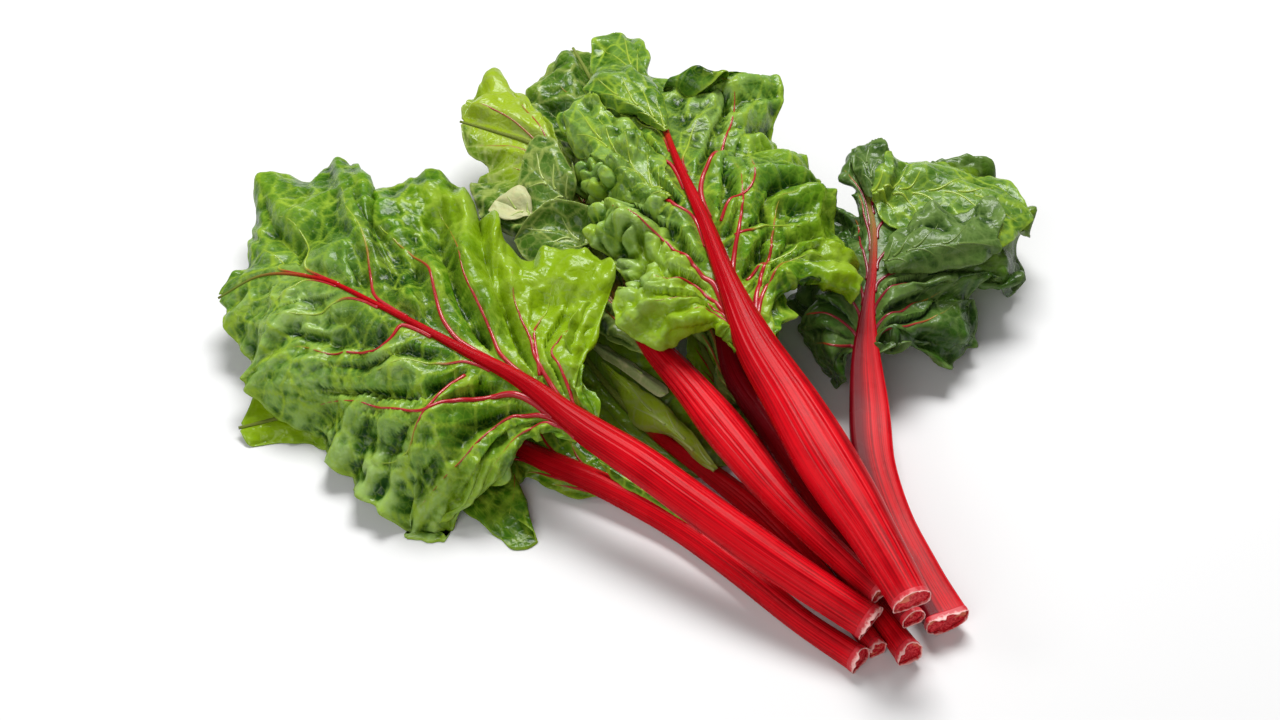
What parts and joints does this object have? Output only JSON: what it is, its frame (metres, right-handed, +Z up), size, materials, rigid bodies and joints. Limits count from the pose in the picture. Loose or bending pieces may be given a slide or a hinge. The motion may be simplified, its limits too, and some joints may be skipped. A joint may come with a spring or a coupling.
{
  "type": "chard bunch",
  "caption": "Loose bunch of red-stalked chard leaves lying flat, cut stalk ends together and crinkled green blades fanned out.",
  "frame": {"origin": "middle of the bunch's footprint, on the surface that it lies on", "axes": "+Z up; the cut stalk ends point towards +X and -Y, and the blades fan out towards -X and +Y"},
  "size_m": [0.4542, 0.461, 0.0759],
  "materials": {
    "stalk_red": "glossy fresh skin with fine lengthwise ribs",
    "stalk_purple": "glossy fresh skin, darker",
    "leaf_green": "crinkled leaf, waxy sheen",
    "leaf_dark": "crinkled dark leaf, glossy",
    "leaf_pale": "crinkled yellow-green leaf, waxy sheen"
  },
  "bodies": {
    "root": {"stalk_left": "stalk_red", "blade_left": "leaf_green", "stalk_top": "stalk_red", "blade_top": "leaf_green", "stalk_right": "stalk_red", "blade_right": "leaf_dark", "stalk_front": "stalk_red", "blade_front": "leaf_green", "stalk_middle": "stalk_red", "blade_middle": "leaf_pale", "stalk_back": "stalk_purple", "blade_back": "leaf_pale", "stalk_low": "stalk_red", "blade_low": "leaf_dark", "stalk_inner": "stalk_red", "blade_inner": "leaf_green"}
  },
  "joints": []
}
